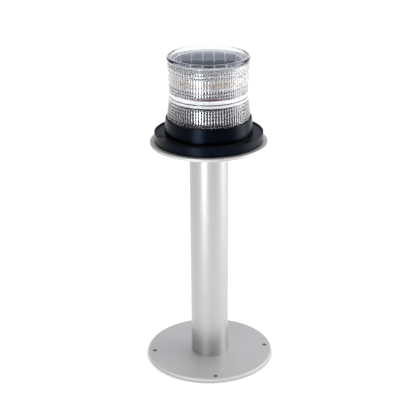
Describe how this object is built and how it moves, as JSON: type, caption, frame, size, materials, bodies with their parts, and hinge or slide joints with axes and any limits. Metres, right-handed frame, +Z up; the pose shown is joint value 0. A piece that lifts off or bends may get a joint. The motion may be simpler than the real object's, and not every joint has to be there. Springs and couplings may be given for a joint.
{
  "type": "navigation light",
  "caption": "Solar navigation light: clear ribbed lens over a lamp ring and solar panel, black twist-off housing, on an aluminium pipe pedestal with a round bolt-down foot.",
  "frame": {"origin": "centre of the foot plate's underside", "axes": "+Z up along the pipe, -Y towards the front of the lantern"},
  "size_m": [0.2032, 0.2032, 0.5074],
  "materials": {
    "satin_aluminium": "satin, bead-blasted and anodised",
    "turned_aluminium": "turned",
    "blackened_steel": "black oxide steel",
    "stainless": "plain stainless steel",
    "black_moulding": "satin black moulding",
    "seal_rubber": "matte black",
    "clear_lens": "clear moulded polycarbonate",
    "cell_wrap": "blue shrink wrap",
    "nickel": "nickel strip",
    "holder_moulding": "dark blue moulding",
    "circuit_board": "red solder mask",
    "board_component": "black epoxy and ferrite",
    "brass_standoff": "turned brass",
    "drum_aluminium": "machined",
    "white_flex": "white solder mask",
    "lamp_phosphor": "phosphor under clear silicone",
    "white_moulding": "white moulding",
    "foam": "grey foam",
    "panel_backing": "white laminate",
    "solar_cell": "blue-grey silicon under clear film",
    "red_lead": "PVC insulation",
    "black_lead": "PVC insulation"
  },
  "bodies": {
    "pedestal": {"base_plate": "satin_aluminium", "pedestal_pipe": "satin_aluminium", "foot_plug": "turned_aluminium", "foot_screws": "stainless", "top_plate": "satin_aluminium", "head_plug": "turned_aluminium", "head_screws": "stainless", "mounting_ring": "black_moulding", "ring_bolts": "blackened_steel", "ring_washers": "blackened_steel"},
    "lantern": {"housing": "black_moulding", "lens_seal": "seal_rubber", "battery_cover": "black_moulding", "cover_seal": "seal_rubber", "cover_screws": "stainless", "battery_cells": "cell_wrap", "cell_links": "nickel", "battery_lead_positive": "red_lead", "battery_lead_negative": "black_lead", "battery_holder": "holder_moulding", "holder_screws": "stainless", "lens": "clear_lens", "board_standoffs": "brass_standoff", "control_board": "circuit_board", "board_parts": "board_component", "board_spacers": "drum_aluminium", "lamp_drum": "drum_aluminium", "lamp_strip": "white_flex", "lamps": "lamp_phosphor", "lamp_lead": "black_lead", "carrier_spacers": "drum_aluminium", "panel_carrier": "white_moulding", "stack_screws": "stainless", "panel_pad": "foam", "panel_backing": "panel_backing", "solar_cells": "solar_cell", "panel_lead_positive": "red_lead", "panel_lead_negative": "black_lead"}
  },
  "joints": [
    {"name": "lantern_twist", "type": "hinge", "parent": "pedestal", "child": "lantern", "pos_m": [0, 0, 0.38], "axis": [0, 0, 1], "range_deg": [0, 36]}
  ]
}
